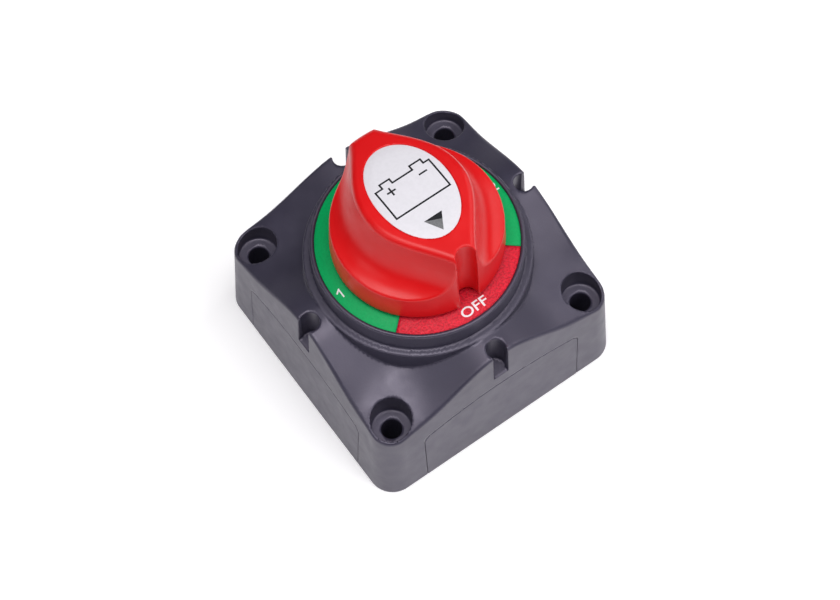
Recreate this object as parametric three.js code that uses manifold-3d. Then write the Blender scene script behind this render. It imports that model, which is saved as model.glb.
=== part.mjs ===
// Surface-mount battery selector switch with a four-position rotary knob.
// Millimetres, +Z up. The origin is the centre of the housing's underside.
// The knob points to -Y at OFF, -X at 1, +Y at 1+2 and +X at 2.

import * as THREE from 'three';
import { mergeVertices } from 'three/addons/utils/BufferGeometryUtils.js';
import Module from 'manifold-3d';

const wasm = await Module();
wasm.setup();

// ---------------------------------------------------------------- driving dimensions

const BASE = 69;               // side of the square base
const CORNER_R = 6;            // vertical corner radius at the base
const DRAFT = 0.052;           // inward lean of the side walls, mm per mm of height
const WALL = 2.5;              // side wall thickness
const GAP = 0.3;               // clearance between neighbouring pieces

const DECK_Z = 38.4;           // flat deck that carries the dial
const VALLEY_Z = 31;           // top surface between the dial and a corner pad
const ARCH_FLAT = 1.5;         // half-width of the level part of each side arch
const ARCH_RUN = 20.5;         // distance over which an arch falls from deck to valley
const PAD_START = 35.7;        // diagonal distance at which a corner pad starts to fall
const PAD_SLOPE = 0.52;        // fall of the corner pads
const DECK_R = 26.9;           // round deck under the dial
const DIAL_R = 25;             // dial ring, outside
const DIAL_Z = 44.5;           // top of the dial ring's rim
const LABEL_R = 24;            // recess for the dial label
const LABEL_T = 0.3;           // dial label thickness
const LABEL_SEAT_Z = 43.7;

const HOLE_XY = 27.5;          // mounting holes at (+-HOLE_XY, +-HOLE_XY)
const HOLE_R = 2.5;
const BORE_R = 4.85;           // counterbore for the screw head
const BORE_Z = 22.7;           // counterbore floor
const POST_R = 6.3;            // corner post round a mounting hole

const SLOT_AT = 30.7;          // keyhole slot centre from the axis
const SLOT_R = 2.6;
const SLOT_HALF = 2.1;         // half-width of the slot's open part
const SLOT_FLOOR_Z = 27.3;
const SLOT_HOLE_Z = 25.5;

const PANEL_HALF = 22.4;       // half-width of a side panel's opening
const PANEL_SIDE_Z = 20.4;     // height of the opening at its sides
const PANEL_TOP_Z = 23.4;      // height of the opening's arch
const PANEL_CORNER = 1.6;      // rounding where the arch meets a side
const PANEL_SEAM = 0.25;       // seam round a panel
const PANEL_INNER = 31.5;      // flat back of a panel, from the axis

const CAVITY_TOP = 24;         // ceiling of the wiring space
const CHAMBER_R = 21.2;        // contact chamber
const ROOF_Z = 39;             // chamber roof
const GROOVE = 1.2;            // depth of the grooves that hold a side panel's edges
const GROOVE_INNER = 31.3;     // their inner and outer faces from the axis, and their upper end
const GROOVE_OUTER = 32.9;
const GROOVE_TOP = 18.2;

const KNOB_R = 20.4;           // skirt radius at its lower edge
const KNOB_DRAFT = 0.05;       // skirt lean
const KNOB_Z = 45.6;           // skirt's lower edge
const KNOB_TOP = 67.5;
const HANDLE_MEAN = 6.69;      // handle outline: mean half-width and swing
const HANDLE_SWING = 6.01;
const HANDLE_FRONT = 26;       // half wavelength of the outline towards the pointer
const HANDLE_BACK = 30.3;      // and away from it
const SCOOP_Z = 50;            // level that the scoop floors flatten towards
const SCOOP_K = 36.2;          // scoop profile constant
const ROLL_Y = -3;             // where the handle's top starts to curve down to its tail
const ROLL_K = 0.0075;         // how strongly it curves, per mm
const TAIL_R = 20.95;          // the handle's tail end, from the axis
const TAIL_Z = 48;             // level where the tail starts to stand out, and its run
const TAIL_RUN = 8;
const NOTCH_Y = -19.4;         // pointer notch in the knob's front end
const KNOB_NOTCH_R = 2.8;
const DECAL_A = 9.3;           // decal half-axes and centre
const DECAL_B = 13.7;
const DECAL_Y = 1.5;
const DECAL_RECESS = 0.5;
const DECAL_T = 0.25;

const STUD_AT = 15;            // terminal studs from the axis
const STUD_R = 4.95;
const STUD_END = 3.5;
const PLATE_Z = 19.7;          // terminal plate underside
const PLATE_TOP = 23.7;
const PLATE_R = 28.2;
const PAD_Z = 18.9;            // underside of the pads that the washers seat on
const SCREW_AT = 25.3;         // plate screws from the axis
const CONTACT_Z = 26.6;        // plane of the fixed contacts

const WASHER_R = 9;
const WASHER_Z = 17.2;         // undersides of the flat washer, spring washer and nut
const LOCK_Z = 14.8;
const NUT_Z = 8.6;
const NUT_FLATS = 17;
const PLATE_SCREW_R = 1.25;
const PLATE_SCREW_TOP = 29;

const SHAFT_R = 4.3;
const SHAFT_FOOT_Z = 29.5;
const SHAFT_FOOT_HALF = 3.5;   // square foot in the contact carrier
const SHAFT_HEAD_HALF = 3;     // square head in the knob
const SHAFT_ROUND_TOP = 46;
const SHAFT_TOP = 57;
const COLLAR_R = 7;
const COLLAR_Z = 36.8;
const COLLAR_TOP = 38.1;
const SEAL_OUTER = 6.6;
const SEAL_Z = 41;
const SEAL_TOP = 43.4;
const GASKET_IN = 22.15;
const GASKET_OUT = 23.25;
const GASKET_TOP = 25.2;
const KNOB_SCREW_R = 1.7;
const BOSS_R = 5.8;
const WEB_Z = 57.4;            // web of the knob that its screw clamps
const WEB_TOP = 61;
const SKIRT_WALL = 2.4;
const KNOB_RIB = 12.5;         // reach of the rib through the boss

const CARRIER_R = 20.6;
const CARRIER_Z = 29.3;
const CARRIER_TOP = 36.6;
const SECTOR_R = 19.5;         // moving contact
const SECTOR_HALF_ANGLE = 58;
const SECTOR_HUB_R = 7.5;
const CONTACT_SPRINGS = [[0, -14], [-10.5, -8.5], [10.5, -8.5]];
const SPRING_POCKET_R = 2.7;

const DETENT_AT = 14.5;        // detent plungers and their dimples, from the axis
const DETENT_TRAVEL = 0.7;
const PLUNGER_R = 2;
const PLUNGER_Z = 34.1;        // plunger's flat end
const NOSE_Z = 36.8;           // centre of its round nose
const DETENT_POCKET_Z = 30.6;
const DETENT_SPRING_LENGTH = 2.6;

const ROUND = 24;              // facets round small, medium and large circles
const SMOOTH = 40;
const FINE = 64;

const STUDS = [
  { name: 'battery_1', angle: 135 },
  { name: 'battery_2', angle: 45 },
  { name: 'common', angle: -90 },
];
const SCREW_ANGLES = [90, -22.5, -157.5];

// ---------------------------------------------------------------- materials

function finish(color, roughness, metalness) {
  return new THREE.MeshStandardMaterial({ color, roughness, metalness });
}

const HOUSING = finish('#4d4c58', 0.55, 0);
const RED = finish('#d81f24', 0.4, 0);
const GREEN = finish('#0aa052', 0.6, 0);
const WHITE = finish('#eeecf2', 0.35, 0);
const BLACK = finish('#26262a', 0.6, 0);
const RUBBER = finish('#1b1b1d', 0.85, 0);
const COPPER = finish('#b9703f', 0.35, 1);
const TINNED = finish('#b9b9b4', 0.3, 1);
const STEEL = finish('#a9abb0', 0.3, 1);
const NYLON = finish('#d9d6cc', 0.5, 0);

// ---------------------------------------------------------------- solids

/** A manifold solid from a closed three.js geometry. */
function solid(geometry) {
  const bare = geometry.clone();
  bare.deleteAttribute('normal');
  bare.deleteAttribute('uv');
  const merged = mergeVertices(bare, 1e-4);
  const index = merged.index.array;
  const triangles = [];
  for (let i = 0; i < index.length; i += 3) {
    const [a, b, c] = [index[i], index[i + 1], index[i + 2]];
    if (a !== b && b !== c && c !== a) {
      triangles.push(a, b, c);
    }
  }
  return new wasm.Manifold(new wasm.Mesh({
    numProp: 3,
    vertProperties: new Float32Array(merged.attributes.position.array),
    triVerts: new Uint32Array(triangles),
  }));
}

/** A three.js geometry from a manifold solid. */
function geometryOf(body) {
  const mesh = body.getMesh();
  const geometry = new THREE.BufferGeometry();
  geometry.setAttribute('position', new THREE.BufferAttribute(mesh.vertProperties, 3));
  geometry.setIndex(new THREE.BufferAttribute(mesh.triVerts, 1));
  geometry.computeVertexNormals();
  return geometry;
}

function box(x0, x1, y0, y1, z0, z1) {
  const geometry = new THREE.BoxGeometry(x1 - x0, y1 - y0, z1 - z0);
  return solid(geometry.translate((x0 + x1) / 2, (y0 + y1) / 2, (z0 + z1) / 2));
}

/** An upright square bar on the axis. */
function squareBar(half, z0, z1) {
  return box(-half, half, -half, half, z0, z1);
}

/** An upright cylinder; top is its upper radius when that differs. */
function cylinder(r, z0, z1, { x = 0, y = 0, sides = ROUND, top = r } = {}) {
  const geometry = new THREE.CylinderGeometry(top, r, z1 - z0, sides);
  return solid(geometry.rotateX(Math.PI / 2).translate(x, y, (z0 + z1) / 2));
}

/** A body of revolution about Z from [radius, z] points, outer side going up. */
function turned(points, sides = SMOOTH) {
  const profile = points.map(([r, z]) => new THREE.Vector2(r, z));
  return solid(new THREE.LatheGeometry(profile, sides).rotateX(Math.PI / 2));
}

/** A ball centred on the axis. */
function ball(r, z) {
  return solid(new THREE.SphereGeometry(r, ROUND, 12).rotateX(Math.PI / 2).translate(0, 0, z));
}

/** A ring of rectangular section. */
function ring(inner, outer, z0, z1, sides = SMOOTH) {
  return turned([[inner, z0], [outer, z0], [outer, z1], [inner, z1], [inner, z0]], sides);
}

/** A flat outline in XY pulled up from z0 to z1. */
function pulled(shape, z0, z1, curveSegments = 8) {
  const options = { depth: z1 - z0, bevelEnabled: false, curveSegments };
  return solid(new THREE.ExtrudeGeometry(shape, options).translate(0, 0, z0));
}

function joined(bodies) {
  return bodies.reduce((sum, body) => sum.add(body));
}

function polar(radius, degrees) {
  const angle = THREE.MathUtils.degToRad(degrees);
  return [radius * Math.cos(angle), radius * Math.sin(angle)];
}

const model = new THREE.Group();

/** Adds a named piece to the model and returns its mesh. */
function piece(name, body, material, turn = 0) {
  const mesh = new THREE.Mesh(geometryOf(body), material);
  mesh.name = name;
  mesh.rotation.z = THREE.MathUtils.degToRad(turn);
  model.add(mesh);
  return mesh;
}

// ---------------------------------------------------------------- housing

/** A rounded square about the axis. */
function roundedSquare(half, radius) {
  const shape = new THREE.Shape();
  const flat = half - radius;
  shape.absarc(flat, flat, radius, 0, Math.PI / 2);
  shape.absarc(-flat, flat, radius, Math.PI / 2, Math.PI);
  shape.absarc(-flat, -flat, radius, Math.PI, Math.PI * 1.5);
  shape.absarc(flat, -flat, radius, Math.PI * 1.5, Math.PI * 2);
  shape.closePath();
  return shape;
}

/** A rounded square block whose walls lean inward by DRAFT. */
function draftedBlock(half, radius, z0, z1) {
  const options = { depth: z1 - z0, bevelEnabled: false, curveSegments: 8 };
  const geometry = new THREE.ExtrudeGeometry(roundedSquare(half, radius), options);
  geometry.translate(0, 0, z0);
  const position = geometry.attributes.position;
  for (let i = 0; i < position.count; i += 1) {
    const scale = 1 - (DRAFT * position.getZ(i)) / half;
    position.setXY(i, position.getX(i) * scale, position.getY(i) * scale);
  }
  return solid(geometry);
}

/** Height of the housing's top surface outside the dial. */
function topHeight(x, y) {
  const nearest = Math.min(Math.abs(x), Math.abs(y));
  const along = THREE.MathUtils.clamp((nearest - ARCH_FLAT) / ARCH_RUN, 0, 1);
  const arch = (1 + Math.cos(Math.PI * along)) / 2;
  const past = (Math.abs(x) + Math.abs(y)) / Math.SQRT2 - PAD_START;
  const fall = (PAD_SLOPE * (past + Math.hypot(past, 1.2))) / 2;
  return VALLEY_Z + (DECK_Z - VALLEY_Z) * arch - fall;
}

/** A block whose upper side follows topHeight. */
function topSurfaceBlock() {
  const size = BASE + 4;
  const cells = 22;
  const geometry = new THREE.BoxGeometry(size, size, 2, cells, cells, 1);
  const position = geometry.attributes.position;
  for (let i = 0; i < position.count; i += 1) {
    const upper = position.getZ(i) > 0;
    position.setZ(i, upper ? topHeight(position.getX(i), position.getY(i)) : 0);
  }
  return solid(geometry);
}

/** The arched outline of a side panel, grown by a margin, as a block through the front wall. */
function panelBlock(margin, yOuter, yInner) {
  const half = PANEL_HALF + margin;
  const side = PANEL_SIDE_Z + margin;
  const top = PANEL_TOP_Z + margin;
  const shape = new THREE.Shape();
  shape.moveTo(-half, -margin);
  shape.lineTo(half, -margin);
  shape.lineTo(half, side - PANEL_CORNER);
  shape.quadraticCurveTo(half, side, half - PANEL_CORNER, side + 0.1);
  shape.quadraticCurveTo(0, 2 * top - side, PANEL_CORNER - half, side + 0.1);
  shape.quadraticCurveTo(-half, side, -half, side - PANEL_CORNER);
  shape.closePath();
  const options = { depth: yInner - yOuter, bevelEnabled: false, curveSegments: 10 };
  const geometry = new THREE.ExtrudeGeometry(shape, options);
  return solid(geometry.rotateX(Math.PI / 2).translate(0, yInner, 0));
}

/** Copies a body to all four sides. */
function fourSides(body) {
  return joined([0, 90, 180, 270].map((angle) => body.rotate([0, 0, angle])));
}

function keyholeSlot() {
  const hole = cylinder(SLOT_R, SLOT_HOLE_Z, DIAL_Z, { y: -SLOT_AT });
  const mouth = box(-SLOT_HALF, SLOT_HALF, -BASE, -SLOT_AT, SLOT_FLOOR_Z, DIAL_Z);
  return hole.add(mouth);
}

function housing() {
  const block = draftedBlock(BASE / 2, CORNER_R, 0, DECK_Z + 1);
  const deck = cylinder(DECK_R, BORE_Z, DECK_Z, { sides: FINE });
  const dial = cylinder(DIAL_R, BORE_Z, DIAL_Z, { sides: FINE });
  let body = block.intersect(topSurfaceBlock()).add(deck).add(dial);

  const corner = [HOLE_XY, -HOLE_XY];
  const post = cylinder(POST_R, -1, CAVITY_TOP + 1, { x: corner[0], y: corner[1] });
  const wiringSpace = draftedBlock(BASE / 2 - WALL, CORNER_R - WALL, -1, CAVITY_TOP);
  body = body.subtract(wiringSpace.subtract(fourSides(post)));

  const screwHole = cylinder(HOLE_R, -1, BORE_Z + 1, { x: corner[0], y: corner[1] });
  const counterbore = cylinder(BORE_R, BORE_Z, DECK_Z, { x: corner[0], y: corner[1] });
  body = body.subtract(fourSides(screwHole.add(counterbore)));

  body = body.subtract(fourSides(keyholeSlot()));
  body = body.subtract(fourSides(panelBlock(0, -BASE / 2 - 2, -PANEL_INNER + 1)));
  body = body.subtract(fourSides(panelEdges(0, -1)));

  const labelRecess = cylinder(LABEL_R, LABEL_SEAT_Z, DIAL_Z + 1, { sides: FINE });
  const chamber = cylinder(CHAMBER_R, CAVITY_TOP - 1, ROOF_Z, { sides: FINE });
  const shaftHole = cylinder(SHAFT_R + GAP, ROOF_Z - 1, DIAL_Z);
  const sealSeat = cylinder(SEAL_OUTER + GAP, SEAL_Z - 0.2, DIAL_Z);
  const dimple = ball(PLUNGER_R + 0.25, NOSE_Z + DETENT_TRAVEL).translate([0, -DETENT_AT, 0]);
  const [grooveIn, grooveOut] = [GASKET_IN - 0.2, GASKET_OUT + 0.2];
  const gasketGroove = ring(grooveIn, grooveOut, CAVITY_TOP - 1, GASKET_TOP + 0.2, FINE);
  body = body.subtract(joined([labelRecess, chamber, shaftHole, sealSeat]));
  body = body.subtract(fourSides(dimple)).subtract(gasketGroove);
  for (const angle of SCREW_ANGLES) {
    const [x, y] = polar(SCREW_AT, angle);
    const pilot = cylinder(PLATE_SCREW_R + 0.15, CAVITY_TOP - 1, PLATE_SCREW_TOP + 0.5, { x, y, sides: 16 });
    body = body.subtract(pilot);
  }
  return body;
}

/** The bar across the opening that forms the panel's edges, or its grooves when z0 is below zero. */
function panelEdges(margin, z0) {
  const half = PANEL_HALF + GROOVE - margin;
  return box(-half, half, margin - GROOVE_OUTER, -GROOVE_INNER - margin, z0, GROOVE_TOP - margin);
}

/** The front side panel: outer face flush with the wall, with three stiffening ribs behind it. */
function sidePanel() {
  const face = draftedBlock(BASE / 2 - 0.15, CORNER_R, 0, DECK_Z);
  const skin = panelBlock(-PANEL_SEAM, -BASE / 2 - 1, -PANEL_INNER).intersect(face);
  const [ribOuter, ribInner] = [-PANEL_INNER - 0.5, 1.6 - PANEL_INNER];
  const ribs = [-14, 0, 14].map((x) => box(x - 0.6, x + 0.6, ribOuter, ribInner, 2, 19));
  return joined([skin, panelEdges(PANEL_SEAM, 0.4), ...ribs]);
}

// ---------------------------------------------------------------- shaft, seals and rotor

function driveShaft() {
  const foot = squareBar(SHAFT_FOOT_HALF, SHAFT_FOOT_Z, COLLAR_Z + 0.5);
  const head = squareBar(SHAFT_HEAD_HALF, SHAFT_ROUND_TOP - 1, SHAFT_TOP);
  const collar = cylinder(COLLAR_R, COLLAR_Z, COLLAR_TOP);
  const round = cylinder(SHAFT_R, COLLAR_TOP - 0.5, SHAFT_ROUND_TOP);
  const tapped = cylinder(KNOB_SCREW_R + 0.15, SHAFT_ROUND_TOP + 2, SHAFT_TOP + 1, { sides: 16 });
  return joined([foot, head, collar, round]).subtract(tapped);
}

function contactCarrier() {
  const disc = turned([
    [0, CARRIER_Z],
    [CARRIER_R, CARRIER_Z],
    [CARRIER_R, CARRIER_TOP - 0.4],
    [18.2, CARRIER_TOP - 0.4],
    [17.4, CARRIER_TOP - 1],
    [9.4, CARRIER_TOP - 1],
    [8.6, CARRIER_TOP],
    [0, CARRIER_TOP],
  ], FINE);
  const half = SHAFT_FOOT_HALF + 0.2;
  let body = disc.subtract(squareBar(half, CARRIER_Z - 1, CARRIER_TOP + 1));
  for (const [x, y] of CONTACT_SPRINGS) {
    body = body.subtract(cylinder(SPRING_POCKET_R, CARRIER_Z - 1, CARRIER_Z + 4.6, { x, y }));
  }
  for (const x of [-DETENT_AT, DETENT_AT]) {
    body = body.subtract(cylinder(PLUNGER_R + GAP, DETENT_POCKET_Z, CARRIER_TOP + 1, { x }));
  }
  for (const x of [-9, 9]) {
    body = body.subtract(cylinder(3.4, CARRIER_Z - 1, CARRIER_Z + 4, { x, y: 10.5 }));
  }
  return body;
}

/** Copper plate: a round centre and one sector that points with the knob. */
function movingContact() {
  const outline = new THREE.Shape();
  const half = THREE.MathUtils.degToRad(SECTOR_HALF_ANGLE);
  const start = -Math.PI / 2 - half;
  outline.absarc(0, 0, SECTOR_R, start, start + 2 * half);
  outline.absarc(0, 0, SECTOR_HUB_R, start + 2 * half, start + 2 * Math.PI);
  outline.closePath();
  return pulled(outline, CONTACT_Z + GAP, CONTACT_Z + GAP + 1.5, 20);
}

class Helix extends THREE.Curve {
  constructor(radius, height, turns) {
    super();
    Object.assign(this, { radius, height, turns });
  }

  getPoint(t) {
    const angle = 2 * Math.PI * this.turns * t;
    return new THREE.Vector3(this.radius * Math.cos(angle), this.radius * Math.sin(angle), this.height * t);
  }
}

/** An upright coil spring that starts at z = 0. */
function coilSpring(radius, wire, height, turns) {
  const section = new THREE.Shape();
  section.absarc(0, 0, wire, 0, Math.PI * 2);
  const options = {
    steps: turns * 10,
    curveSegments: 3,
    bevelEnabled: false,
    extrudePath: new Helix(radius, height, turns),
  };
  return solid(new THREE.ExtrudeGeometry(section, options));
}

/** A detent plunger on the axis: round nose upward. */
function detentPlunger() {
  return cylinder(PLUNGER_R, PLUNGER_Z, NOSE_Z).add(ball(PLUNGER_R, NOSE_Z));
}

// ---------------------------------------------------------------- knob

/** Half-width of the handle's flat top at a place along Y. */
function handleHalf(y) {
  const wave = y < 0 ? HANDLE_FRONT : HANDLE_BACK;
  return HANDLE_MEAN + HANDLE_SWING * Math.cos((Math.PI * y) / wave);
}

/** How far the scoop stands outside the handle's top outline at a height. */
function scoopSpread(z) {
  if (z <= SCOOP_Z + 0.5) {
    return KNOB_R;
  }
  return SCOOP_K / (z - SCOOP_Z) - SCOOP_K / (KNOB_TOP - SCOOP_Z);
}

/** How far the handle's tail stands outside the skirt in one direction at a height. */
function tailGrowth(angle, z) {
  const rise = THREE.MathUtils.smoothstep(z, TAIL_Z, TAIL_Z + TAIL_RUN);
  const aside = THREE.MathUtils.smoothstep(Math.abs(Math.cos(angle)), 0.25, 0.5);
  const most = TAIL_R - KNOB_R + KNOB_DRAFT * (z - KNOB_Z);
  return Math.sin(angle) > 0 ? most * rise * (1 - aside) : 0;
}

/** Radius of the knob's outside in one direction at a height. */
function knobRadius(angle, z, inset) {
  const skirt = KNOB_R - KNOB_DRAFT * (z - KNOB_Z) + tailGrowth(angle, z) - inset;
  const spread = scoopSpread(z) - inset;
  let low = 0;
  let high = skirt;
  for (let i = 0; i < 30; i += 1) {
    const r = (low + high) / 2;
    const inside = Math.abs(r * Math.cos(angle)) < handleHalf(r * Math.sin(angle)) + spread;
    if (inside) {
      low = r;
    } else {
      high = r;
    }
  }
  return low;
}

/** Drop of the handle's top towards its tail. */
function rollDrop(y) {
  return ROLL_K * Math.max(0, y - ROLL_Y) ** 2;
}

/** The knob's outer form, or its hollow when inset, between two heights. */
function knobForm(inset, z0, z1, steps, sides) {
  const levels = [z0, Math.max(z0 + 0.5, SCOOP_Z + 1.5)];
  for (let i = 1; i <= steps; i += 1) {
    levels.push(levels[1] + (z1 - levels[1]) * (i / steps) ** 1.6);
  }
  const profile = [new THREE.Vector2(0, z0)];
  levels.forEach((z) => profile.push(new THREE.Vector2(1, z)));
  [0.75, 0.5, 0.25, 0].forEach((share) => profile.push(new THREE.Vector2(share, z1)));
  const geometry = new THREE.LatheGeometry(profile, sides).rotateX(Math.PI / 2);
  const position = geometry.attributes.position;
  for (let i = 0; i < position.count; i += 1) {
    const [x, y, z] = [position.getX(i), position.getY(i), position.getZ(i)];
    const angle = Math.atan2(y, x);
    const r = Math.hypot(x, y) * knobRadius(angle, z, inset);
    const weight = THREE.MathUtils.clamp((z - SCOOP_Z) / (KNOB_TOP - SCOOP_Z), 0, 1);
    position.setXYZ(i, r * Math.cos(angle), r * Math.sin(angle), z - weight * rollDrop(r * Math.sin(angle)));
  }
  return solid(geometry);
}

/** An elliptical slab that follows the handle's top; heights are below KNOB_TOP. */
function decalSlab(margin, lower, upper) {
  const shares = [0, 0.35, 0.7, 1];
  const bottom = shares.map((share) => new THREE.Vector2(share, lower));
  const top = shares.map((share) => new THREE.Vector2(share, upper));
  const profile = [...bottom, ...top.reverse()];
  const geometry = new THREE.LatheGeometry(profile, SMOOTH).rotateX(Math.PI / 2);
  const position = geometry.attributes.position;
  for (let i = 0; i < position.count; i += 1) {
    const x = position.getX(i) * (DECAL_A + margin);
    const y = position.getY(i) * (DECAL_B + margin) + DECAL_Y;
    position.setXYZ(i, x, y, KNOB_TOP + position.getZ(i) - rollDrop(y));
  }
  return solid(geometry);
}

function knob() {
  const outer = knobForm(0, KNOB_Z, KNOB_TOP, 13, FINE);
  const hollow = knobForm(SKIRT_WALL, KNOB_Z - 1, KNOB_TOP - 3, 7, SMOOTH);
  const notch = cylinder(KNOB_NOTCH_R + 0.3, KNOB_Z - 1, KNOB_TOP + 1, { y: NOTCH_Y, top: KNOB_NOTCH_R });
  const notchWall = cylinder(KNOB_NOTCH_R + 2, KNOB_Z, KNOB_TOP - 2, { y: NOTCH_Y });
  const boss = cylinder(BOSS_R, KNOB_Z + 0.6, KNOB_TOP - 2);
  const rib = box(-0.8, 0.8, -KNOB_RIB, KNOB_RIB, KNOB_Z + 3, KNOB_TOP - 2);
  let body = outer.subtract(hollow.subtract(joined([notchWall, boss, rib])));
  const socket = SHAFT_HEAD_HALF + 0.2;
  body = body.subtract(squareBar(socket, KNOB_Z - 1, WEB_Z));
  body = body.subtract(cylinder(SHAFT_R + GAP, KNOB_Z - 1, SHAFT_ROUND_TOP + GAP));
  body = body.subtract(cylinder(KNOB_SCREW_R + GAP, WEB_Z - 1, WEB_TOP + 1, { sides: 16 }));
  body = body.subtract(cylinder(4, WEB_TOP, KNOB_TOP + 1));
  return body.subtract(notch).subtract(decalSlab(0.15, -DECAL_RECESS, 2));
}

function knobScrew() {
  const head = cylinder(3.4, WEB_TOP + 0.15, WEB_TOP + 2.6);
  const shank = cylinder(KNOB_SCREW_R, SHAFT_TOP - 6, WEB_TOP + 1, { sides: 16 });
  const slots = joined([
    box(-2.2, 2.2, -0.4, 0.4, WEB_TOP + 1.4, WEB_TOP + 3),
    box(-0.4, 0.4, -2.2, 2.2, WEB_TOP + 1.4, WEB_TOP + 3),
  ]);
  return head.add(shank).subtract(slots);
}

// ---------------------------------------------------------------- terminals

function terminalPlate() {
  let body = cylinder(PLATE_R, PLATE_Z, PLATE_TOP, { sides: FINE });
  body = body.add(cylinder(4.4, PLATE_TOP - 1, CONTACT_Z - 1.4));
  body = body.add(box(-0.8, 0.8, 2.4, 22, 9, PLATE_Z + 1));
  for (const side of [-1, 1]) {
    const barrier = box(2.4, 22, -0.8, 0.8, 9, PLATE_Z + 1);
    body = body.add(barrier.rotate([0, 0, -90 + side * 67.5]));
  }
  body = body.add(cylinder(3, 9, PLATE_Z + 1));
  for (const { angle } of STUDS) {
    const [x, y] = polar(STUD_AT, angle);
    body = body.add(cylinder(9.2, PAD_Z, PLATE_Z + 1, { x, y }));
    body = body.subtract(cylinder(STUD_R + 0.2, PAD_Z - 1, PLATE_TOP + 1, { x, y }));
  }
  for (const angle of SCREW_ANGLES) {
    const [x, y] = polar(SCREW_AT, angle);
    body = body.subtract(cylinder(PLATE_SCREW_R + 0.25, PLATE_Z - 1, PLATE_TOP + 1, { x, y, sides: 16 }));
  }
  return body;
}

/** A stud upright on the axis: threaded shank below, contact head above the plate. */
function terminalStud(headTop) {
  return turned([
    [0, STUD_END],
    [STUD_R - 0.9, STUD_END],
    [STUD_R, STUD_END + 0.9],
    [STUD_R, PLATE_TOP + 0.15],
    [5.7, PLATE_TOP + 0.15],
    [5.7, headTop],
    [0, headTop],
  ], ROUND);
}

function hexNut() {
  const circum = NUT_FLATS / Math.sqrt(3);
  const hexagon = cylinder(circum, NUT_Z, NUT_Z + 6, { sides: 6 });
  const rounded = turned([
    [0, NUT_Z],
    [circum - 1, NUT_Z],
    [circum + 0.1, NUT_Z + 0.9],
    [circum + 0.1, NUT_Z + 5.1],
    [circum - 1, NUT_Z + 6],
    [0, NUT_Z + 6],
  ], ROUND);
  return hexagon.intersect(rounded).subtract(cylinder(STUD_R + 0.2, NUT_Z - 1, NUT_Z + 7));
}

function splitWasher() {
  const cut = box(4, WASHER_R, -0.5, 0.5, LOCK_Z - 3, LOCK_Z + 5);
  return ring(STUD_R + 0.25, WASHER_R - 0.4, LOCK_Z, LOCK_Z + 2.2, ROUND).subtract(cut);
}

function commonContact() {
  const [, y] = polar(STUD_AT, -90);
  const outline = new THREE.Shape();
  outline.absarc(0, 0, 5, 0, Math.PI);
  outline.absarc(0, y, 5, Math.PI, Math.PI * 2);
  outline.closePath();
  return pulled(outline, CONTACT_Z - 1.2, CONTACT_Z, 12);
}

function plateScrew() {
  const head = cylinder(2.6, PLATE_Z - 2, PLATE_Z - 0.15);
  const shank = cylinder(PLATE_SCREW_R, PLATE_Z - 1, PLATE_SCREW_TOP, { sides: 16 });
  const slot = box(-1.8, 1.8, -0.35, 0.35, PLATE_Z - 3, PLATE_Z - 1.1);
  return head.add(shank).subtract(slot);
}

// ---------------------------------------------------------------- assembly

piece('housing', housing(), HOUSING);
['front', 'right', 'back', 'left'].forEach((side, i) => {
  piece(`side_panel_${side}`, sidePanel(), HOUSING, 90 * i);
});
piece('dial_label', ring(10, LABEL_R - 0.15, LABEL_SEAT_Z + 0.1, LABEL_SEAT_Z + 0.1 + LABEL_T, FINE), GREEN);
piece('chamber_gasket', ring(GASKET_IN, GASKET_OUT, PLATE_TOP + 0.1, GASKET_TOP, FINE), RUBBER);
piece('shaft_seal', ring(SHAFT_R + 0.1, SEAL_OUTER, SEAL_Z, SEAL_TOP), RUBBER);
piece('thrust_washer', ring(SHAFT_R + 0.4, COLLAR_R + 1.6, COLLAR_TOP + 0.15, ROOF_Z - 0.15), NYLON);

piece('terminal_plate', terminalPlate(), BLACK);
SCREW_ANGLES.forEach((angle, i) => {
  const [x, y] = polar(SCREW_AT, angle);
  piece(`plate_screw_${i + 1}`, plateScrew(), STEEL).position.set(x, y, 0);
});
piece('common_contact', commonContact(), COPPER);
for (const { name, angle } of STUDS) {
  const [x, y] = polar(STUD_AT, angle);
  const headTop = name === 'common' ? CONTACT_Z - 1.4 : CONTACT_Z;
  piece(`stud_${name}`, terminalStud(headTop), TINNED).position.set(x, y, 0);
  piece(`flat_washer_${name}`, ring(STUD_R + 0.2, WASHER_R, WASHER_Z, WASHER_Z + 1.5, ROUND), STEEL)
    .position.set(x, y, 0);
  piece(`spring_washer_${name}`, splitWasher(), STEEL, angle).position.set(x, y, 0);
  piece(`nut_${name}`, hexNut(), STEEL, angle === -90 ? 30 : 0).position.set(x, y, 0);
}

piece('drive_shaft', driveShaft(), STEEL);
piece('contact_carrier', contactCarrier(), NYLON);
piece('moving_contact', movingContact(), COPPER);
CONTACT_SPRINGS.forEach(([x, y], i) => {
  const spring = piece(`contact_spring_${i + 1}`, coilSpring(2, 0.4, 4, 4), STEEL);
  spring.position.set(x, y, CONTACT_Z + GAP + 2.3);
});
for (const [side, x] of [['left', -DETENT_AT], ['right', DETENT_AT]]) {
  const spring = coilSpring(1.5, 0.35, DETENT_SPRING_LENGTH, 3);
  piece(`detent_spring_${side}`, spring, STEEL).position.set(x, 0, DETENT_POCKET_Z + 0.45);
  piece(`detent_plunger_${side}`, detentPlunger(), STEEL).position.set(x, 0, 0);
}
piece('knob', knob(), RED);
piece('knob_label', decalSlab(0, DECAL_T - DECAL_RECESS - 0.1, DECAL_T - DECAL_RECESS + 0.05), WHITE);
piece('knob_screw', knobScrew(), STEEL);

export default model;
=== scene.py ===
import itertools
import math

import bpy
import numpy as np
from mathutils import Matrix, Vector


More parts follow.
